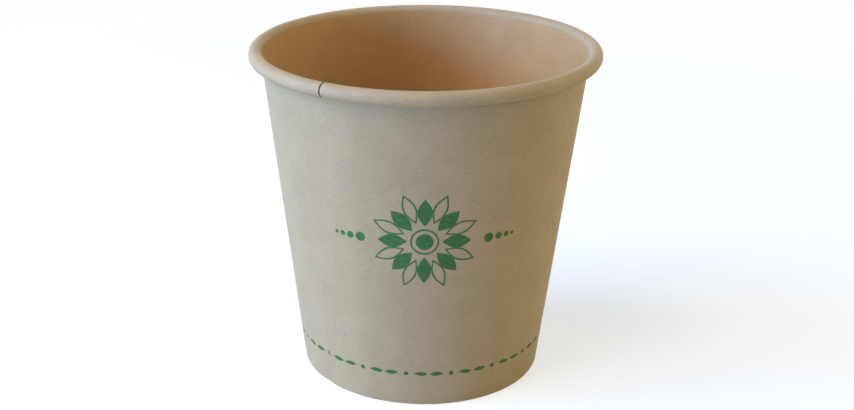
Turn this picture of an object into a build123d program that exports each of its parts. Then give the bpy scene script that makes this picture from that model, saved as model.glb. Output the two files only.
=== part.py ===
"""Single-wall bamboo-board drinking cup, in millimetres, +Z up, origin at the centre of the foot.

Two folded sheets of board make the cup. The sidewall is a fan-shaped blank wrapped into a cone, lapped
and sealed along one side seam, rolled outwards at the top into a brim and turned in at the bottom round
the skirt of the base. The base is a disc drawn into a shallow pan that stands upside down in the foot.
Each board carries a thin barrier film on the face that meets the drink, and that film seals the seams.
"""

import math
import os

from build123d import *

# Overall sizes
rim_diameter = 62.0  # outside of the rolled brim
foot_diameter = 44.0  # outside of the wall at the foot
cup_height = 60.0  # foot to the top of the brim

# Sheet thicknesses
wall_board = 0.30
base_board = 0.28
film = 0.04

# Rolled brim
curl_diameter = 2.5  # outside of the roll
curl_inner_radius = 0.55  # film side of the second, tucked turn
curl_bottom_angle = -90.0  # where the first turn hands over to the second, from straight out
curl_tuck = 190.0  # how far the second turn goes on

# Side seam, as lengths measured round the cup at the rim
seam_angle = -126.5  # place of the inner raw edge, from +X
lap_width = 7.0
step_width = 1.2  # where the wall steps out over the inner raw edge
lap_curl_end = -70.0  # the lapped layer stops here inside the roll, from straight out

# Crimped foot
fold_radius = 0.06  # film side of the two foot folds
hem_height = 5.6  # turned-in edge of the sidewall, above the foot
base_height = 6.6  # upper face of the base board
base_corner = 0.9  # film side of the bend between base and skirt
skirt_clearance = 0.06  # skirt's cut edge above the bottom of the fold

# Wall slope: the wall's outside runs from the foot to the roll, which it meets tangentially
rim_radius = rim_diameter / 2
foot_point = Vector(foot_diameter / 2, 0)
curl_radius = curl_diameter / 2 - film
curl_centre = Vector(rim_radius - curl_diameter / 2, cup_height - curl_diameter / 2)
foot_to_curl = curl_centre - foot_point
wall_slope = math.degrees(
    math.atan2(foot_to_curl.X, foot_to_curl.Y)
    - math.asin((curl_radius - wall_board) / foot_to_curl.length)
)
up_wall = Vector(0, 1).rotate(Axis.Z, -wall_slope)
out_of_wall = Vector(1, 0).rotate(Axis.Z, -wall_slope)

# Layers in the crimp, from the wall's outside to the hem: wall, its film, base film, skirt, hem film, hem
crimp_gap = base_board + 3 * film
lap_offset = wall_board + film  # the lapped layer lies outside the wall and one film
lap_angle = math.degrees(lap_width / rim_radius)
step_angle = math.degrees(step_width / rim_radius)


def on_wall_line(depth, height):
    """The point at that height on a line that runs parallel to the wall, depth inside its outer face."""
    start = foot_point - out_of_wall * depth
    return start + up_wall * ((height - start.Y) / up_wall.Y)


def bend_setback(radius, turn):
    """How far before the sharp corner of two straight runs a bend of that radius starts."""
    return radius * math.tan(math.radians(abs(turn)) / 2)


def trace(start, heading, steps, side):
    """Edges of a folded path, moved by side to the right of travel.

    A step is a straight length, or a pair of radius and turn in degrees, where a left turn is positive.
    """
    ahead = Vector(1, 0).rotate(Axis.Z, heading)
    point = start + ahead.rotate(Axis.Z, -90) * side
    edges = []
    for step in steps:
        if isinstance(step, tuple):
            radius, turn = step
            edge = JernArc(point, ahead, radius + side * math.copysign(1, turn), turn)
        else:
            edge = Line(point, point + ahead * step)
        edges.append(edge)
        point, ahead = edge @ 1, edge % 1
    return edges


def sheet_section(path, near, far):
    """Section of a sheet that fills the band between two offsets of a path, standing in the XZ plane."""
    first, second = trace(*path, near), trace(*path, far)
    ends = [Line(first[0] @ 0, second[0] @ 0), Line(first[-1] @ 1, second[-1] @ 1)]
    return Plane.XZ * make_face([*first, *second, *ends])


def sidewall_path(last_turns):
    """Film side of the sidewall board: down the hem, round the foot, up the wall and over the brim."""
    wall_foot = on_wall_line(wall_board, wall_board)
    hem_foot = on_wall_line(wall_board + crimp_gap, wall_board)
    hem_top = on_wall_line(wall_board + crimp_gap, hem_height)
    hem_turn, wall_turn = 90 + wall_slope, 90 - wall_slope
    hem_setback = bend_setback(fold_radius, hem_turn)
    wall_setback = bend_setback(fold_radius, wall_turn)
    wall_run = (curl_centre - wall_foot).dot(up_wall)
    steps = [
        (hem_top - hem_foot).length - hem_setback,
        (fold_radius, hem_turn),
        (wall_foot - hem_foot).length - hem_setback - wall_setback,
        (fold_radius, wall_turn),
        wall_run - wall_setback,
        *last_turns,
    ]
    return hem_top, -90 - wall_slope, steps


def base_path():
    """Film side of the base board: out from the axis along the panel and down the skirt."""
    skirt_depth = wall_board + 2 * film
    corner = on_wall_line(skirt_depth, base_height)
    skirt_end = on_wall_line(skirt_depth, wall_board + film + skirt_clearance)
    turn = -90 - wall_slope
    setback = bend_setback(base_corner, turn)
    steps = [corner.X - setback, (base_corner, turn), (corner - skirt_end).length - setback]
    return Vector(0, base_height), 0, steps


# The roll starts where the wall touches it, half a turn from straight out
curl_start = 180 - wall_slope
full_roll = [
    (curl_radius, curl_bottom_angle - curl_start),
    (curl_inner_radius, -curl_tuck),
]
short_roll = [(curl_radius, lap_curl_end - curl_start)]


def wrapped_sheet(near, far):
    """A layer of the sidewall: from the inner raw edge once round the cup, then outwards and over itself.

    Seen from above it runs clockwise, so the outer raw edge lies clockwise of the inner one.
    """
    round_path, lap_path = sidewall_path(full_roll), sidewall_path(short_roll)
    round_angle = 360 - step_angle
    turn = Rot(Z=-round_angle) * revolve(sheet_section(round_path, near, far), Axis.Z, round_angle)
    before_step = Rot(Z=step_angle) * sheet_section(lap_path, near, far)
    after_step = sheet_section(lap_path, near + lap_offset, far + lap_offset)
    step = loft([before_step, after_step], ruled=True)
    lap = Rot(Z=-lap_angle) * revolve(after_step, Axis.Z, lap_angle)
    # The lap is pressed flush with the foot when the base is crimped
    below_foot = Pos(Z=-cup_height / 2) * Box(rim_diameter, rim_diameter, cup_height)
    return Rot(Z=seam_angle) * (turn + (step - below_foot) + (lap - below_foot))


def sidewall():
    """Bamboo board of the wall, with the brim roll, the side lap and the turned-in hem."""
    return wrapped_sheet(0, wall_board)


def sidewall_lining():
    """Barrier film on the inside of the wall, which also fills and seals the side lap."""
    return wrapped_sheet(-film, 0)


def base():
    """Bamboo board pan that closes the cup, with its skirt held in the crimp."""
    return revolve(sheet_section(base_path(), 0, base_board), Axis.Z)


def base_lining():
    """Barrier film on the upper face of the base and the outside of its skirt."""
    return revolve(sheet_section(base_path(), -film, 0), Axis.Z)


if __name__ == "__main__":
    os.makedirs("parts", exist_ok=True)
    for make in (sidewall, sidewall_lining, base, base_lining):
        piece = make()
        export_step(piece, f"parts/{make.__name__}.step")
        print(make.__name__, "solids", len(piece.solids()), "volume", round(piece.volume, 1))
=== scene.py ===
# %% [markdown]
# # A small cup of bamboo board
# The cup is folded from two sheets of unbleached board. A fan-shaped blank is wrapped into a cone,
# lapped along one side, rolled outwards into a brim and turned in at the foot round a shallow pan,
# which is the base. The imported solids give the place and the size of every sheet, so they are
# loaded first and stay as they are. The sheets are then made again with smooth bends, fibres and
# ink, because a close view shows all three.

# %% Load the frame
import math

import bpy
from mathutils import Matrix, Vector


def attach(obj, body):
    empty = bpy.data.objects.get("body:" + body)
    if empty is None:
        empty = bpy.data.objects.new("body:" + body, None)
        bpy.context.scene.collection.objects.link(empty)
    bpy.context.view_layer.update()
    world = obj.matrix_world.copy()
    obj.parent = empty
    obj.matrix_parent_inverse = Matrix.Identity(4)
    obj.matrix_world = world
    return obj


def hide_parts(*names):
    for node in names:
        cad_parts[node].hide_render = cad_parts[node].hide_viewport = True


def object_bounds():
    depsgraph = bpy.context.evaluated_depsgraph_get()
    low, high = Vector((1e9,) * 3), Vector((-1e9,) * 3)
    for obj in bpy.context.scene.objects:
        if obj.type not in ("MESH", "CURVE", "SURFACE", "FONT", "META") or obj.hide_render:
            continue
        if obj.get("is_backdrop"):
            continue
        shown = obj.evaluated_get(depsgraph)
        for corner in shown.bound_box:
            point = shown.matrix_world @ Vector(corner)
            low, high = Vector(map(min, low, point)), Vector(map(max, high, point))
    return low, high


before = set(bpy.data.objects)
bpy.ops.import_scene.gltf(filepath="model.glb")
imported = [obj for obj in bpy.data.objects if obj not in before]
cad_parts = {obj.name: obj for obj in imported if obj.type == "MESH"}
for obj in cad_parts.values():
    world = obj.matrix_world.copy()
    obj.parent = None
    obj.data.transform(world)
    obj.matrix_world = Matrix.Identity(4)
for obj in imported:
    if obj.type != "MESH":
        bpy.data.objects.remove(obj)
cad_box = [list(corner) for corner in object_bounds()]
MM = 0.001


def in_mm(*lengths):
    """Lengths in millimetres, rounded for printing."""
    return [round(length / MM, 2) for length in lengths]


print("nodes", sorted(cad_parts), "box in mm", [in_mm(*corner) for corner in cad_box])

# %% [markdown]
# ## Sizes of the two sheets
# Everything follows from the brim, the foot, the height and the thickness of the sheets. The brim
# and the height are read from the frame. The others are the sizes the solids were built with,
# written once here in metres. The wall's slope could be one more size, but it would have to be
# changed with every other. So it is worked out: the wall runs from the foot to where it touches the
# roll.

# %% Sizes
low, high = cad_box
rim_radius = max(high[0] - low[0], high[1] - low[1]) / 2
cup_height = high[2] - low[2]
foot_radius = 22.0 * MM
wall_board = 0.30 * MM
base_board = 0.28 * MM
film = 0.04 * MM

curl_diameter = 2.5 * MM
curl_inner_radius = 0.55 * MM
curl_tuck = 190.0  # degrees that the second turn of the roll goes on

seam_angle = -126.5  # degrees from +X to the inner raw edge
lap_width = 7.0 * MM

fold_radius = 0.06 * MM
hem_height = 5.6 * MM
base_height = 6.6 * MM
base_corner = 0.9 * MM
skirt_clearance = 0.06 * MM
print("rim radius, foot radius and height in mm", in_mm(rim_radius, foot_radius, cup_height))

# %% Slope of the wall
curl_radius = curl_diameter / 2 - film
curl_centre = Vector((rim_radius - curl_diameter / 2, cup_height - curl_diameter / 2))
foot_point = Vector((foot_radius, 0.0))
foot_to_curl = curl_centre - foot_point
wall_slope = math.degrees(
    math.atan2(foot_to_curl.x, foot_to_curl.y)
    - math.asin((curl_radius - wall_board) / foot_to_curl.length)
)
print("wall slope in degrees", round(wall_slope, 3))

# %% [markdown]
# ## Walking along a folded sheet
# Seen from the side, each sheet is a line that runs straight, bends, and runs straight again, as a
# strip of card does. The line could be a list of points, but then no bend would stay round when a
# size changes. A pen that walks along it needs only lengths and turns. At every row it notes its
# place and the direction across the sheet, so both faces of the sheet come from the one line.

# %% Section walk
def heading_vector(degrees):
    """Unit direction in the section plane, where x is the radius and y is the height."""
    return Vector((math.cos(math.radians(degrees)), math.sin(math.radians(degrees))))


def walk(start, heading, steps):
    """Rows of a section as (place, across), where across points to the right of travel.

    A step is (length, rows) for a straight run, or (radius, turn, rows) for a bend.
    Left turns are positive.
    """
    place = start.copy()
    rows = [(place.copy(), heading_vector(heading - 90))]
    for step in steps:
        count = step[-1]
        for _ in range(count):
            if len(step) == 2:
                place = place + heading_vector(heading) * (step[0] / count)
            else:
                radius, turn = step[0], step[1]
                side = 90 if turn > 0 else -90
                centre = place + heading_vector(heading + side) * radius
                heading += turn / count
                place = centre - heading_vector(heading + side) * radius
            rows.append((place.copy(), heading_vector(heading - 90)))
    return rows


corner_test = walk(Vector((0.0, 0.0)), 0, [(1.0, 90, 4)])
print("a left bend of radius 1 ends at", [round(side, 3) for side in corner_test[-1][0]])

# %% Lines along the wall
def on_wall_line(depth, height):
    """The point at that height on a line parallel to the wall, depth inside its outer face."""
    start = foot_point - heading_vector(-wall_slope) * depth
    up_wall = heading_vector(90 - wall_slope)
    return start + up_wall * ((height - start.y) / up_wall.y)


def bend_setback(radius, turn):
    """How far before the sharp corner of two straight runs a bend starts."""
    return radius * math.tan(math.radians(turn) / 2)


print("wall radius at half height in mm", in_mm(on_wall_line(0.0, cup_height / 2).x))

# %% Section of the wall
crimp_gap = base_board + 3 * film
hem_turn = 90 + wall_slope
wall_turn = 90 - wall_slope
roll_turn = 270 - wall_slope  # from the inside of the wall, over the top and down to the underside
wall_foot = on_wall_line(wall_board, wall_board)
hem_foot = on_wall_line(wall_board + crimp_gap, wall_board)
hem_top = on_wall_line(wall_board + crimp_gap, hem_height)
hem_setback = bend_setback(fold_radius, hem_turn)
wall_setback = bend_setback(fold_radius, wall_turn)
wall_run = (curl_centre - wall_foot).dot(heading_vector(90 - wall_slope))
hem_rows, fold_rows, foot_rows, straight_rows, roll_rows, tuck_rows = 8, 6, 1, 30, 40, 16
wall_rows = walk(hem_top, -90 - wall_slope, [
    ((hem_top - hem_foot).length - hem_setback, hem_rows),
    (fold_radius, hem_turn, fold_rows),
    ((wall_foot - hem_foot).length - hem_setback - wall_setback, foot_rows),
    (fold_radius, wall_turn, fold_rows),
    (wall_run - wall_setback, straight_rows),
    (curl_radius, -roll_turn, roll_rows),
    (curl_inner_radius, -curl_tuck, tuck_rows),
])
print("rows from the hem to the tucked edge", len(wall_rows))

# %% Where the wall and the roll start
first_wall_row = hem_rows + 2 * fold_rows + foot_rows
first_roll_row = first_wall_row + straight_rows
first_tuck_row = first_roll_row + roll_rows


def run_along(rows, last):
    """Length of the section from its first row to another."""
    places = [place for place, _ in rows[:last + 1]]
    return sum((after - before).length for before, after in zip(places, places[1:]))


roll_start = run_along(wall_rows, first_roll_row)
print("length to the roll in mm", in_mm(roll_start))

# %% [markdown]
# ## Node maths as plain sums
# Shader and geometry nodes do arithmetic one small node at a time. Adding and linking each by hand
# works, but it is slow to read. A socket wrapped in a class with Python's own operators lets a
# formula be written as a formula, and each sign adds its node. Every other node comes from one
# method, which sets it up and links it in one go.

# %% Node sums
class Wire:
    """A socket that gives a value, so that node maths can be written as plain sums."""

    def __init__(self, tree, socket=None):
        self.tree = tree
        self.socket = socket

    def node(self, kind, settings=(), inputs=(), output=0):
        """Adds a node, sets its settings and then its sockets, and returns one of its outputs."""
        made = self.tree.nodes.new(kind)
        for name, value in dict(settings).items():
            setattr(made, name, value)
        for key, value in dict(inputs).items():
            if isinstance(value, Wire):
                self.tree.links.new(value.socket, made.inputs[key])
            else:
                made.inputs[key].default_value = value
        return Wire(self.tree, made.outputs[output] if made.outputs else None)

    def also(self, output):
        """Another output of the same node."""
        return Wire(self.tree, self.socket.node.outputs[output])

    def sums(self, operation, *values, clamp=False):
        """One Math node on some values."""
        settings = {"operation": operation, "use_clamp": clamp}
        return self.node("ShaderNodeMath", settings, dict(enumerate(values)))

    def of(self, operation, *others, clamp=False):
        """One Math node that takes this wire first."""
        return self.sums(operation, self, *others, clamp=clamp)

    def __add__(self, other):
        return self.of("ADD", other)

    def __sub__(self, other):
        return self.of("SUBTRACT", other)

    def __mul__(self, other):
        return self.of("MULTIPLY", other)

    def __truediv__(self, other):
        return self.of("DIVIDE", other)

    def __rsub__(self, other):
        return self.sums("SUBTRACT", other, self)

    def __gt__(self, other):
        return self.of("GREATER_THAN", other)

    def __abs__(self):
        return self.of("ABSOLUTE")


print("wires take + - * / > and abs")

# %% Helpers on wires
# A colour Mix node's sockets are taken by number, because their names repeat
MIX_AMOUNT, MIX_FIRST, MIX_SECOND, MIX_RESULT = 0, 6, 7, 2


def mix(amount, first, second):
    """A colour between two, by a wire that runs from 0 to 1."""
    sockets = {MIX_AMOUNT: amount, MIX_FIRST: first, MIX_SECOND: second}
    return amount.node("ShaderNodeMix", {"data_type": "RGBA"}, sockets, MIX_RESULT)


def spread(value, first, last, reach=1.0, kind="SMOOTHSTEP"):
    """Runs from 0 to reach while a value goes from first to last, and stays level outside."""
    sockets = {"Value": value, "From Min": first, "From Max": last, "To Max": reach}
    return value.node("ShaderNodeMapRange", {"interpolation_type": kind}, sockets)


def apart(vector):
    """The X of a vector, from which also() gives its Y and Z."""
    return vector.node("ShaderNodeSeparateXYZ", (), {0: vector})


def distance(along, up):
    """How far a place is from the middle."""
    return (along * along + up * up).of("SQRT")


print("helpers", [helper.__name__ for helper in (mix, spread, apart, distance)])

# %% [markdown]
# ## The print
# Green ink is printed on the flat board before it is rolled: a rosette on the front, with a trail
# of dots on each side, and a row of small seeds and dots above the foot. It could be cut from thin
# sheets, but ink has no thickness, so it is a mask in the board's own colour. The mask is drawn in
# millimetres along the wall, from signed depths: how far a place lies inside the edge of a shape.

# %% Ink shapes
ink_edge = 0.06  # mm over which the ink fades at its edge
half_line = 0.16  # mm, half the width of a drawn line


def inside(depth):
    """1 where a signed depth in mm is inside a shape, 0 outside, with the ink's soft edge."""
    return (depth / ink_edge).of("ADD", 0.5, clamp=True)


def drawn_line(depth):
    """Ink along the line where a signed depth is 0."""
    return inside(half_line - abs(depth))


def either(*masks):
    """The strongest of several masks."""
    joined = masks[0]
    for mask in masks[1:]:
        joined = joined.of("MAXIMUM", mask)
    return joined


def disc(along, up, radius):
    """Signed depth inside a disc."""
    return radius - distance(along, up)


def petals(along, up, count, inner, outer, half_width):
    """Signed depth inside a ring of petals, each pointed at both ends."""
    reach = distance(along, up)
    turn = up.of("ARCTAN2", along) * (count / math.tau)
    off_axis = abs((turn + 0.5).of("FRACT") - 0.5) * (math.tau / count)
    past_inner = reach * off_axis.of("COSINE") - inner
    before_outer = (outer - inner) - past_inner
    bulge = (past_inner * (math.pi / (outer - inner))).of("SINE") * half_width
    flank = bulge - reach * off_axis.of("SINE")
    return flank.of("MINIMUM", past_inner.of("MINIMUM", before_outer))


print("ink edge and line in mm", ink_edge, 2 * half_line)

# %% Rosette and its dots
petal_count = 8
solid_petals = (2.9, 7.9, 1.25)  # mm from the middle to each end, and half the width
outlined_petals = (3.6, 9.3, 1.15)
middle_radius, ring_radius = 1.5, 2.25
trail_dots = ((11.0, 0.85), (12.9, 0.65), (14.4, 0.48), (15.6, 0.34))  # mm out, and radius


def turned(along, up, degrees):
    """A place as it lies on a drawing that is turned about its middle."""
    cosine, sine = math.cos(math.radians(degrees)), math.sin(math.radians(degrees))
    return along * cosine + up * sine, up * cosine - along * sine


def rosette(along, up):
    """Two rings of petals round a ringed middle, the outer ring in outline."""
    solid = inside(petals(along, up, petal_count, *solid_petals))
    between = turned(along, up, 180 / petal_count)
    outline = drawn_line(petals(*between, petal_count, *outlined_petals) - half_line)
    middle = inside(disc(along, up, middle_radius))
    ring = drawn_line(disc(along, up, ring_radius))
    return either(solid, outline * (1 - solid), middle, ring)


def dot_trail(along, up):
    """Dots that shrink away from the rosette, the same on both sides."""
    side = abs(along)
    return either(*(inside(disc(side - place, up, radius)) for place, radius in trail_dots))


print("petals", 2 * petal_count, "dots", 2 * len(trail_dots))

# %% Row of seeds
row_repeats = 18
row_pitch = 7.9  # mm from one pair of seeds to the next
seed_place, seed_lean = 1.35, 0.35  # mm from the middle of the pair, and mm aside for each mm up
seed_half_length, seed_half_width = 1.25, 0.42
row_dot_radius = 0.42


def seed_row(degrees, up):
    """Leaning pairs of seeds with a dot between, all the way round above the foot."""
    side = abs(((degrees * (row_repeats / 360)).of("FRACT") - 0.5) * row_pitch)
    along_seed = side - seed_place - up * seed_lean
    seed = petals(along_seed, up, 2, -seed_half_length, seed_half_length, seed_half_width)
    return either(inside(seed), inside(disc(row_pitch / 2 - side, up, row_dot_radius)))


print("seeds", 2 * row_repeats)

# %% [markdown]
# ## The board
# Bamboo board is warm tan with a faint sheen. Close up it shows soft clouds a few millimetres
# across, short fibres that lie mostly along the sheet, and a few darker specks. One noise alone
# looks like plaster, so clouds, two lays of stretched noise for the fibres and sharp dots for the
# specks are laid over each other, all very faint. The grain belongs to the flat sheet, so the wall
# reads it from a place on its blank. The raw edges, where the sheet was cut, are darker, and an
# attribute on the faces marks them.

# %% Grain of the board
cloud_scale, speck_scale = 170.0, 2400.0  # cells in a metre: clouds near 6 mm, specks near 0.4 mm
long_share = 0.55  # of the fibres, the rest are short
fibre_share = 0.65  # of the tone, the rest is clouds
speck_strength = 0.25
cloud_band, fibre_band = (0.30, 0.70), (0.32, 0.68)  # middle of the noise, where most of it lies
speck_band = (0.71, 0.79)  # only its peaks


def noise(place, scale, detail):
    sockets = {"Vector": place, "Scale": scale, "Detail": detail}
    return place.node("ShaderNodeTexNoise", (), sockets)


def fibre_lay(place, degrees, length, width):
    """Noise drawn out into fibres of a length and width, turned on the sheet."""
    turn, stretch = (0, 0, math.radians(degrees)), (length, width, width)
    sockets = {"Vector": place, "Rotation": turn, "Scale": stretch}
    laid = place.node("ShaderNodeMapping", {"vector_type": "TEXTURE"}, sockets)
    return spread(noise(laid, 1.0, detail=2.0), *fibre_band)


def board_grain(place):
    """Tone, specks and fibres of bare board at a place in metres."""
    clouds = spread(noise(place, cloud_scale, detail=3.0), *cloud_band)
    long_fibres = fibre_lay(place, degrees=18.0, length=1.3 * MM, width=0.30 * MM)
    short_fibres = fibre_lay(place, degrees=-55.0, length=0.8 * MM, width=0.17 * MM)
    fibres = long_fibres * long_share + short_fibres * (1 - long_share)
    specks = spread(noise(place, speck_scale, detail=1.0), *speck_band) * speck_strength
    tone = clouds * (1 - fibre_share) + fibres * fibre_share
    return tone, specks, fibres


print("clouds and specks in mm", in_mm(1 / cloud_scale, 1 / speck_scale))

# %% Colour of the board
board_light = (0.557, 0.426, 0.254, 1.0)
board_dark = (0.453, 0.346, 0.206, 1.0)
board_speck = (0.300, 0.200, 0.105, 1.0)
cut_edge = (0.400, 0.315, 0.210, 1.0)
cut_share = 0.85  # how far a raw edge goes to its own colour


def board_colour(tone, specks, dark, light):
    return mix(specks, mix(tone, dark, light), board_speck)


def darken_cut(bench, colour):
    """The colour, darker on the faces that were cut."""
    edge = bench.node("ShaderNodeAttribute", {"attribute_name": "cut_edge"}, output="Fac")
    return mix(edge * cut_share, colour, cut_edge)


def object_place(bench):
    return bench.node("ShaderNodeTexCoord", output="Object")


def sheet_place(bench):
    """Place on the flat blank, in metres round and up."""
    return bench.node("ShaderNodeAttribute", {"attribute_name": "blank_place"}, output="Vector")


print("board from", board_dark[:3], "to", board_light[:3])

# %% Surface of the board
board_roughness = 0.62
fibre_polish = 0.10  # how much smoother a fibre is than the board round it
relief_strength, relief_depth = 0.20, 0.02 * MM
board_shine = 0.05


def new_finish(name):
    """An empty material, and a wire to build its nodes from."""
    material = bpy.data.materials.new(name)
    material.use_nodes = True
    material.node_tree.nodes.clear()
    return material, Wire(material.node_tree)


def end_finish(bench, sockets):
    """Ends a material in one Principled shader."""
    shader = bench.node("ShaderNodeBsdfPrincipled", (), sockets)
    bench.node("ShaderNodeOutputMaterial", (), {"Surface": shader})


def dress_board(bench, colour, fibres, gloss, shine):
    """Colour, sheen and fine relief that every board surface shares."""
    relief = {"Strength": relief_strength, "Distance": relief_depth, "Height": fibres}
    end_finish(bench, {
        "Base Color": colour,
        "Roughness": (board_roughness - gloss) - fibres * fibre_polish,
        "Normal": bench.node("ShaderNodeBump", (), relief),
        "Specular IOR Level": shine,
    })


print("board roughness", board_roughness)

# %% Printed wall
ink_green = (0.019, 0.160, 0.040, 1.0)
ink_cover, ink_mottle = 0.97, 0.14  # how well ink covers the board, and how much less over fibres
ink_gloss = 0.04
front_angle = -92.8  # degrees from +X to the middle of the rosette
rosette_height, seed_height = 33.0, 6.6  # mm above the foot


def print_mask(bench):
    """1 where ink lies on the outside of the wall."""
    east = apart(object_place(bench))
    north, height = east.also("Y"), east.also("Z") * (1 / MM)
    degrees = north.of("ARCTAN2", east) * (180 / math.pi)
    wall_tan = math.tan(math.radians(wall_slope))
    mid_sheet = height * wall_tan + (foot_radius - wall_board / 2) / MM
    on_outside = distance(east, north) * (1 / MM) > mid_sheet
    rosette_radius = foot_radius / MM + rosette_height * wall_tan
    along = (degrees - front_angle) * (math.pi / 180 * rosette_radius)
    up = height - rosette_height
    seeds = seed_row(degrees, height - seed_height)
    return either(rosette(along, up), dot_trail(along, up), seeds) * on_outside


def printed_board():
    """Board of the wall, with its print and its darker raw edges."""
    material, bench = new_finish("bamboo_board_printed")
    tone, specks, fibres = board_grain(sheet_place(bench))
    ink = print_mask(bench)
    bare = board_colour(tone, specks, board_dark, board_light)
    colour = mix(ink * (ink_cover - fibres * ink_mottle), bare, ink_green)
    dress_board(bench, darken_cut(bench, colour), fibres, ink * ink_gloss, board_shine)
    return material


printed = printed_board()
print("finish", printed.name, "nodes", len(printed.node_tree.nodes))

# %% Board of the base
def pan_board(name, dark, light, gloss, shine):
    """Board of the base, whose grain is read from where it lies."""
    material, bench = new_finish(name)
    tone, specks, fibres = board_grain(object_place(bench))
    dress_board(bench, board_colour(tone, specks, dark, light), fibres, gloss, shine)
    return material


plain = pan_board("bamboo_board_plain", board_dark, board_light, 0.0, board_shine)
print("finish", plain.name, "nodes", len(plain.node_tree.nodes))

# %% [markdown]
# ## The barrier film
# A thin clear film keeps the drink out of the board. A see-through sheet over the board would be
# the plain way to make it, but the film is too thin to see as a layer: what shows is the board
# beneath it, with a little more shine. So the film is a sheet of its own with the board's grain for
# colour and a smoother face. Inside the cup its colour is deeper and warmer than the board's,
# partly from the film and partly as painted shade and warm bounced light of the cup's hollow. It
# also covers the roll, where the inside of the board faces outwards and no painted shade is
# wanted, so there it turns to the board's own colour, and on the underside the film has lost its
# gloss.

# %% Film finishes
# Deeper and warmer than the board: partly the film, partly painted shade and warm bounced light of
# the cup's hollow
film_and_shade_light = (0.620, 0.392, 0.187, 1.0)
film_and_shade_dark = (0.518, 0.327, 0.155, 1.0)
film_gloss = 0.20
film_shine = 0.12
# Runs along the sheet over which the painted shade leaves the film's colour on the roll, and then
# the film turns dull
shade_fade_run = (roll_start - 0.5 * MM, roll_start + 0.8 * MM)
dull_stretch = (roll_start + 3.0 * MM, roll_start + 4.4 * MM)
dulling = 0.40


def lined_wall_board():
    """Board seen through film, with painted shade deep inside the cup and the board's own colour on
    the roll.
    """
    material, bench = new_finish("bamboo_board_lined_wall")
    place = sheet_place(bench)
    tone, specks, fibres = board_grain(place)
    run = apart(place).also("Y")
    # 0 deep inside, where the film's colour carries painted shade, 1 on the roll, where the board's
    # own colour shows
    out_of_shade = spread(run, *shade_fade_run)
    dark, light = mix(out_of_shade, film_and_shade_dark, board_dark), mix(out_of_shade, film_and_shade_light, board_light)
    colour = darken_cut(bench, board_colour(tone, specks, dark, light))
    gloss = film_gloss - spread(run, *dull_stretch) * dulling
    dress_board(bench, colour, fibres, gloss, film_shine)
    return material


lined_wall = lined_wall_board()
# The base's film takes the same deeper colour, partly painted shade of the cup's hollow
lined_base = pan_board("bamboo_board_lined_base", film_and_shade_dark, film_and_shade_light, film_gloss, film_shine)
print("finishes", lined_wall.name, lined_base.name)

# %% [markdown]
# ## How the wall is worked
# The heated clamp that seals the side lap presses it thin, most of all in the foot, and the
# crimping wheel leaves a knurl on the hem. The roll is left almost at full thickness, which is why
# the seam shows as a short line over the brim. Bump could only hint at this, so it is real shape:
# each row of the section notes how it is worked, and the rows are kept as a line of points that
# Geometry Nodes can read.

# %% Rows as worked
wall_step = 8.0 * MM  # how gently the wall climbs over the inner raw edge
brim_step = 0.45 * MM  # how sharply the roll does
wall_press, brim_press = 0.86, 0.20  # 0 is two full layers, 1 is two layers in the space of one
foot_fade, brim_fade, tuck_fade = 6, 6, 12  # rows over which the pressing changes
step_fade = (first_roll_row - 2, first_roll_row + 4)
wheel_rows = range(2, 7)  # middle of the hem, where the crimping wheel runs


def fade(number, first, last):
    """Runs smoothly from 0 at the first row to 1 at the last."""
    share = min(max((number - first) / (last - first), 0.0), 1.0)
    return share * share * (3 - 2 * share)


def pressed(number):
    """How thin the lap is pressed at a row."""
    foot = 1 - fade(max(hem_rows - number, number - first_wall_row), 0, foot_fade)
    brim = fade(number, first_roll_row, first_roll_row + brim_fade)
    tuck = fade(number, first_tuck_row - tuck_fade, first_tuck_row)
    along_wall = wall_press + (brim_press - wall_press) * brim
    return max(foot, along_wall + (1 - along_wall) * tuck)


def step_length(number):
    """How far round the cup the sheet takes to climb over its own edge."""
    return wall_step + (brim_step - wall_step) * fade(number, *step_fade)


middle_row = (first_wall_row + first_roll_row) // 2
print("pressed at the foot and half way up", pressed(first_wall_row), round(pressed(middle_row), 2))

# %% Section line
def put(name, data):
    """A new object in the scene."""
    made = bpy.data.objects.new(name, data)
    bpy.context.collection.objects.link(made)
    return made


def section_line(rows):
    """A line of points that carries what each row says.

    That is the direction across the sheet, the run along it, and how it is worked.
    """
    mesh = bpy.data.meshes.new("section")
    mesh.from_pydata([(place.x, 0.0, place.y) for place, _ in rows], [], [])
    across = mesh.attributes.new("across", "FLOAT_VECTOR", "POINT")
    worked = mesh.attributes.new("worked", "FLOAT_VECTOR", "POINT")
    for number, (_, direction) in enumerate(rows):
        across.data[number].vector = (direction.x, run_along(rows, number), direction.y)
        knurled = 1.0 if number in wheel_rows else 0.0
        worked.data[number].vector = (pressed(number), knurled, step_length(number) / rim_radius)
    return put("section", mesh)


wall_section = section_line(wall_rows)
print("section points", len(wall_section.data.vertices))

# %% [markdown]
# ## Rolling the blank
# The wall could be spun like a pot, but then it would have no seam. A real wall is a flat blank
# that goes once round, climbs outwards by its own thickness and lies over its own start. Geometry
# Nodes can do the same: a box of many columns is the flat blank, and one Set Position rolls it. Its
# sizes are named inputs, because the board and its film are rolled by the same tree.

# %% Inputs of the rolling tree
rolling = bpy.data.node_groups.new("Roll the blank", "GeometryNodeTree")
input_kinds = {
    "Object": ("Section",),
    "Int": ("Rows", "Round columns", "Step columns", "Lap columns"),
    "Float": ("Start", "Lap", "Step", "Near side", "Far side", "Lap offset", "Pressed away",
              "Knurls", "Knurl depth", "Mean radius"),
    "Material": ("Material",),
}
input_keys = {}
for kind, names in input_kinds.items():
    for name in names:
        socket = rolling.interface.new_socket(name, in_out="INPUT", socket_type="NodeSocket" + kind)
        input_keys[name] = socket.identifier
rolling.interface.new_socket("Mesh", in_out="OUTPUT", socket_type="NodeSocketGeometry")
roller = Wire(rolling)
given = roller.node("NodeGroupInput")
print("inputs", ", ".join(input_keys))

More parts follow.
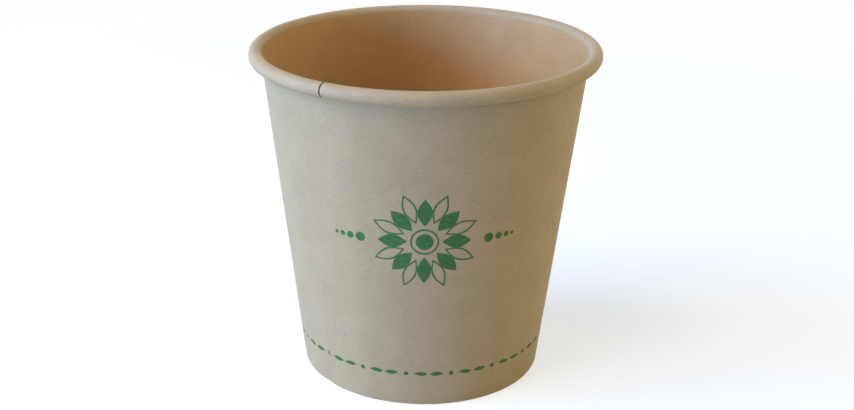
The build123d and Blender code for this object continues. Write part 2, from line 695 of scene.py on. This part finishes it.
# %% Flat blank
round_end = given.also("Round columns")
step_end = round_end + given.also("Step columns")
lap_end = step_end + given.also("Lap columns")
counts = {"Vertices X": lap_end + 1, "Vertices Y": given.also("Rows"), "Vertices Z": 2}
blank = roller.node("GeometryNodeMeshCube", (), {"Size": (1.0, 1.0, 1.0), **counts})
flat = apart(roller.node("GeometryNodeInputPosition"))
column = (0.5 - flat) * lap_end
row = (flat.also("Y") + 0.5) * (given.also("Rows") - 1)
row = roller.node("FunctionNodeFloatToInt", {"rounding_mode": "ROUND"}, {0: row})
thick = flat.also("Z") + 0.5  # 0 on the near face of the sheet, 1 on the far one
print("nodes for the blank", len(rolling.nodes))

# %% [markdown]
# ### Round the cup
# Every column turns a little further round the axis. Even columns would be simplest, but the climb
# over the raw edge is short and needs many of them, so the full turn, the climb and the lap each
# have columns of their own.

# %% Turn of each column
lap, step = given.also("Lap"), given.also("Step")
round_turn = spread(column, 0.0, round_end, math.tau - step, "LINEAR")
step_turn = spread(column, round_end, step_end, step, "LINEAR")
lap_turn = spread(column, step_end, lap_end, lap, "LINEAR")
turn = round_turn + step_turn + lap_turn
print("nodes with the turn", len(rolling.nodes))

# %% [markdown]
# ### Up the section and across the sheet
# Every row of the blank takes its place from the section line, by its number. The sheet's thickness
# runs across it: the lap lies further out by one sheet, both layers are pressed thin where they
# overlap, and the knurl stands a little proud. The overlap could be cut and joined as pieces of its
# own, but as one sheet it has no gaps.

# %% What the section says of each row
section = roller.node("GeometryNodeObjectInfo", (), {"Object": given.also("Section")}, "Geometry")


def row_value(value):
    """A vector of the section line at this row, taken apart."""
    sockets = {"Geometry": section, "Value": value, "Index": row}
    return apart(roller.node("GeometryNodeSampleIndex", {"data_type": "FLOAT_VECTOR"}, sockets))


def row_attribute(name):
    settings = {"data_type": "FLOAT_VECTOR"}
    return row_value(roller.node("GeometryNodeInputNamedAttribute", settings, {"Name": name}))


row_place = row_value(roller.node("GeometryNodeInputPosition"))
across, press = row_attribute("across"), row_attribute("worked")
knurl, climb = press.also("Y"), press.also("Z")
print("nodes with the section", len(rolling.nodes))

# %% Place across the sheet
lapped = spread(turn, math.tau - climb, math.tau)
under_lap = 1 - spread(turn, lap, lap + step)
near, far = given.also("Near side"), given.also("Far side")
side = near + (far - near) * thick + given.also("Lap offset") * lapped
side = side * (1 - press * lapped.of("MAXIMUM", under_lap) * given.also("Pressed away"))
ridge = (turn * given.also("Knurls")).of("SINE") * 0.5 + 0.5
side = side + ridge * knurl * given.also("Knurl depth")
print("nodes with the thickness", len(rolling.nodes))

# %% [markdown]
# ### Marks for the finishes, and the roll itself
# Before the blank is rolled, its faces note which of them were cut, and its points note where they
# lie on the flat sheet. The finishes read both. They could be worked out again from the rolled
# shape, but on the blank they are plain.

# %% Rolled blank
raw_side = 0.49999  # on a blank 1 wide, only the two raw sides lie further out than this


def mark(geometry, name, kind, domain, value):
    """Notes a value on the blank for the finishes to read."""
    settings = {"data_type": kind, "domain": domain}
    sockets = {"Geometry": geometry, "Name": name, "Value": value}
    return roller.node("GeometryNodeStoreNamedAttribute", settings, sockets)


def point(x, y, z):
    return roller.node("ShaderNodeCombineXYZ", (), {"X": x, "Y": y, "Z": z})


sheet_spot = point(turn * given.also("Mean radius"), across.also("Y"), thick * wall_board)
marked = mark(blank, "cut_edge", "FLOAT", "FACE", abs(flat) > raw_side)
marked = mark(marked, "blank_place", "FLOAT_VECTOR", "POINT", sheet_spot)

angle = given.also("Start") - turn
radius = row_place + across * side
height = (row_place.also("Z") + across.also("Z") * side).of("MAXIMUM", 0.0)
rolled = point(radius * angle.of("COSINE"), radius * angle.of("SINE"), height)
wall = roller.node("GeometryNodeSetPosition", (), {"Geometry": marked, "Position": rolled})
wall = roller.node("GeometryNodeRealizeInstances", (), {"Geometry": wall})
finish = {"Geometry": wall, "Material": given.also("Material")}
roller.node("NodeGroupOutput", (), {"Mesh": roller.node("GeometryNodeSetMaterial", (), finish)})
print("tree", rolling.name, "nodes", len(rolling.nodes))

# %% [markdown]
# ## The wall and its film
# The same tree rolls both sheets. The board lies between the section line and its own thickness,
# and the film on the other side of the line. The modifier could stay on the object, but the part is
# also used without this script, so the tree's result is turned into a plain mesh.

# %% Wall pieces
column_counts = {"Round columns": 300, "Step columns": 60, "Lap columns": 16}
knurl_count, knurl_depth = 60.0, 0.10 * MM
crisp_angle = 40.0  # degrees past which an edge stays crisp


def finished_piece(name, mesh):
    """A piece with smooth bends and crisp cut edges."""
    mesh.name = name
    mesh.shade_smooth()
    mesh.set_sharp_from_angle(angle=math.radians(crisp_angle))
    print(name, "faces", len(mesh.polygons))
    return put(name, mesh)


def roll_sheet(name, near_side, far_side, material):
    """A sheet of the wall between two distances across the section line."""
    holder = put("blank", bpy.data.meshes.new("blank"))
    modifier = holder.modifiers.new("roll", "NODES")
    modifier.node_group = rolling
    values = {
        "Section": wall_section, "Rows": len(wall_rows), **column_counts,
        "Start": math.radians(seam_angle),
        "Lap": lap_width / rim_radius, "Step": wall_step / rim_radius,
        "Near side": near_side, "Far side": far_side, "Lap offset": wall_board + film,
        "Pressed away": 1 - wall_board / (2 * wall_board + film),
        "Knurls": knurl_count, "Knurl depth": knurl_depth,
        "Mean radius": (foot_radius + rim_radius) / 2, "Material": material,
    }
    for key, value in values.items():
        modifier[input_keys[key]] = value
    graph = bpy.context.evaluated_depsgraph_get()
    mesh = bpy.data.meshes.new_from_object(holder.evaluated_get(graph), depsgraph=graph)
    bpy.data.objects.remove(holder)
    return finished_piece(name, mesh)


wall_piece = roll_sheet("cup_wall", 0.0, wall_board, printed)
wall_film_piece = roll_sheet("cup_wall_film", -film, 0.0, lined_wall)
bpy.data.objects.remove(wall_section)

# %% [markdown]
# ## The base
# The base is a disc pressed into a shallow pan. The rolling tree could make it too, but it has no
# seam and nothing on it goes round in steps, so it is spun: the two faces of the section make one
# line from the axis, out and round the skirt's cut edge, and back to the axis. Blender's own Spin
# doubles the points on the axis, and once they are merged it numbers the rest differently on each
# run. Set out column by column, the mesh is closed and always the same.

# %% Section of the base
skirt_depth = wall_board + 2 * film
base_edge = on_wall_line(skirt_depth, base_height)
skirt_end = on_wall_line(skirt_depth, wall_board + film + skirt_clearance)
corner_turn = 90 + wall_slope
corner_setback = bend_setback(base_corner, corner_turn)
panel_rows, corner_rows, skirt_rows = 12, 10, 6
base_rows = walk(Vector((0.0, base_height)), 0, [
    (base_edge.x - corner_setback, panel_rows),
    (base_corner, -corner_turn, corner_rows),
    ((base_edge - skirt_end).length - corner_setback, skirt_rows),
])
print("rows from the axis to the skirt's edge", len(base_rows))

# %% Base pieces
spin_columns = 180


def spun(spot, column):
    """A point of the section, turned about the axis to a column."""
    angle = math.tau * column / spin_columns
    return spot.x * math.cos(angle), spot.x * math.sin(angle), spot.y


def spin_sheet(name, near_side, far_side, material):
    """A sheet of the base between two distances across its section line."""
    outline = [place + outwards * near_side for place, outwards in base_rows]
    outline += [place + outwards * far_side for place, outwards in reversed(base_rows)]
    top, *ring, bottom = outline  # only the two ends lie on the axis
    points = [spun(spot, column) for column in range(spin_columns) for spot in ring]
    top_point, bottom_point = len(points), len(points) + 1
    points += [spun(top, 0), spun(bottom, 0)]
    faces = []
    for column in range(spin_columns):
        here = [column * len(ring) + number for number in range(len(ring))]
        there = [(column + 1) % spin_columns * len(ring) + number for number in range(len(ring))]
        faces.append((top_point, here[0], there[0]))
        faces += zip(here, here[1:], there[1:], there)
        faces.append((here[-1], bottom_point, there[-1]))
    mesh = bpy.data.meshes.new(name)
    mesh.from_pydata(points, [], faces)
    mesh.materials.append(material)
    return finished_piece(name, mesh)


base_piece = spin_sheet("cup_base", 0.0, base_board, plain)
base_film_piece = spin_sheet("cup_base_film", -film, 0.0, lined_base)

# %% [markdown]
# ## Handing the pieces over
# Each new sheet stands for one solid of the frame, which it hides, and rides on the cup's only
# body. One list of all four keeps the sheet, its solid and its slot of the record side by side.

# %% Pieces on the frame
for piece, node, slot in (
    (wall_piece, "sidewall", "wall_board"),
    (wall_film_piece, "sidewall_lining", "wall_film"),
    (base_piece, "base", "base_board"),
    (base_film_piece, "base_lining", "base_film"),
):
    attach(piece, "root")
    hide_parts(node)
    print(piece.name, "stands for", node)

# %% [markdown]
# ## The floor
# The cup stands on white paper. More light would turn any floor white, but it would bleach the cup
# as well. So the floor gives its own white to rays that come from the camera or a reflection, and
# near the cup a share of that white is paper that the lamps light, which keeps the cup's soft
# shadow. To all other rays it is pale paper, which throws a little warm light back up.

# %% Floor finish
black, pure_white = (0.0, 0.0, 0.0, 1.0), (1.0, 1.0, 1.0, 1.0)
lit_paper = (0.54, 0.60, 0.66, 1.0)  # tinted against the lamps, so that it looks neutral
bounce_paper = (0.70, 0.66, 0.58, 1.0)
shadow_ring = (70 * MM, 340 * MM)  # radii between which lit paper gives way to plain white
lit_share = 0.38  # of the white near the cup that the lamps have to give
tooth_scale, tooth_strength = 900.0, 0.02  # fine grain of the paper
tooth_band = (0.2, 0.8)


def seen_directly(bench):
    """1 for rays that show the surface itself, 0 for rays that carry its light to other things."""
    ray = bench.node("ShaderNodeLightPath", output="Is Camera Ray")
    return either(ray, ray.also("Is Glossy Ray"), ray.also("Is Transmission Ray"))


def floor_finish():
    """White paper that keeps a soft shadow near the cup and runs out to plain white."""
    material, bench = new_finish("white_paper_floor")
    place = object_place(bench)
    spot = apart(place)
    near_cup = 1 - spread(distance(spot, spot.also("Y")), *shadow_ring)
    tooth = spread(noise(place, tooth_scale, detail=2.0), *tooth_band) * tooth_strength
    seen = seen_directly(bench)
    own_white = 1 - near_cup * lit_share - tooth
    end_finish(bench, {
        "Base Color": mix(seen, bounce_paper, mix(near_cup, black, lit_paper)),
        "Emission Color": mix(seen * own_white, black, pure_white),
        "Emission Strength": 1.0,
        "Roughness": 0.9,
        "Specular IOR Level": 0.0,
    })
    return material


floor_half = 3.0
floor_corners = [(-floor_half, -floor_half, 0), (floor_half, -floor_half, 0),
                 (floor_half, floor_half, 0), (-floor_half, floor_half, 0)]
floor_mesh = bpy.data.meshes.new("floor")
floor_mesh.from_pydata(floor_corners, [], [(0, 1, 2, 3)])
floor_mesh.materials.append(floor_finish())
floor = put("floor", floor_mesh)
floor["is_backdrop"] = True
print("floor", 2 * floor_half, "m wide")

# %% [markdown]
# ## The light
# In the photo the cup's left side is cool, as from windows, its right side and the deep inside are
# warm, as from room lamps, and the brim throws a soft shadow on the wall beneath it. These tints
# could be painted on the board, but then it would look wrong in any other light. So five soft lamps
# stand for them, and the board keeps one plain colour.

# %% Lamps
cup_middle = Vector((0, 0, cup_height / 2))
lamp_distance = 0.9
skylight, lamplight, pale_lamplight = (0.26, 0.51, 1.0), (1.0, 0.73, 0.42), (1.0, 0.88, 0.53)


def soft_light(name, azimuth, elevation, size, watts, colour):
    """A square lamp that faces the cup from an azimuth counted like the seam's angle."""
    lamp = bpy.data.lights.new(name, "AREA")
    lamp.size, lamp.energy, lamp.color = size, watts, colour
    level = math.cos(math.radians(elevation))
    direction = Vector((
        level * math.cos(math.radians(azimuth)),
        level * math.sin(math.radians(azimuth)),
        math.sin(math.radians(elevation)),
    ))
    holder = put(name, lamp)
    holder.location = cup_middle + direction * lamp_distance
    holder.rotation_euler = direction.to_track_quat("Z", "Y").to_euler()
    print(name, "at", azimuth, "and", elevation, "degrees,", watts, "W")


soft_light("window_front_left", -150, 6, 0.35, 9.1, skylight)
soft_light("window_left", 180, 28, 0.5, 6.9, skylight)
soft_light("warm_high_left", -156, 50, 0.9, 5.9, lamplight)
soft_light("warm_right", -6, 22, 0.6, 3.65, pale_lamplight)
soft_light("sky_overhead", 90, 80, 0.9, 1.6, skylight)

# %% Surroundings
room_tint, room_level = (1.0, 0.93, 0.85, 1.0), 0.02
world = bpy.data.worlds.new("studio")
world.use_nodes = True
world.node_tree.nodes.clear()
bpy.context.scene.world = world
air = Wire(world.node_tree)
room = air.node("ShaderNodeBackground", (), {"Color": room_tint, "Strength": room_level})
backdrop = air.node("ShaderNodeBackground", (), {"Color": pure_white, "Strength": 1.0})
both = air.node("ShaderNodeMixShader", (), {0: seen_directly(air), 1: room, 2: backdrop})
air.node("ShaderNodeOutputWorld", (), {"Surface": both})
bpy.context.scene.view_settings.view_transform = "Standard"
print("world", world.name, "view", bpy.context.scene.view_settings.view_transform)

# %% [markdown]
# ## The camera
# The camera stands where the brim, the wall's edges and the foot of the solids fall on those of the
# photo. It could be set by eye, but a fit to these outlines places it to about a pixel. The lens
# looks straight at a column left of the picture's middle, as in a picture that was cropped, and a
# small sideways shift does the same here.

# %% Camera
photo_width = 854.0  # pixels
focal_pixels = 1293.262
axis_pixel = 340.0  # column that the lens looks straight at
camera_distance = 238.664 * MM
camera_elevation = 21.623  # degrees
camera_roll = -0.663
aim = Vector((-15.162 * MM, 0.0, 29.532 * MM))

camera_data = bpy.data.cameras.new("camera")
camera_data.sensor_fit = "HORIZONTAL"
camera_data.sensor_width = 36.0
camera_data.lens = focal_pixels * camera_data.sensor_width / photo_width
camera_data.shift_x = 0.5 - axis_pixel / photo_width
camera_data.clip_start = 10 * MM
camera = put("camera", camera_data)
tilt = Matrix.Rotation(math.radians(90 - camera_elevation), 4, "X")
roll = Matrix.Rotation(math.radians(camera_roll), 4, "Z")
back = tilt.to_3x3() @ Vector((0, 0, 1))
camera.matrix_world = Matrix.Translation(aim + back * camera_distance) @ tilt @ roll
bpy.context.scene.camera = camera
print("lens in mm", round(camera_data.lens, 2), "shift", round(camera_data.shift_x, 4))

# %% [markdown]
# The box round the finished pieces is printed at the end, as the solids' box was at the start, so
# the two can be set side by side.

# %% Size and finish
visual_box = [list(corner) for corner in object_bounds()]
print("visual box in mm", [in_mm(*corner) for corner in visual_box])
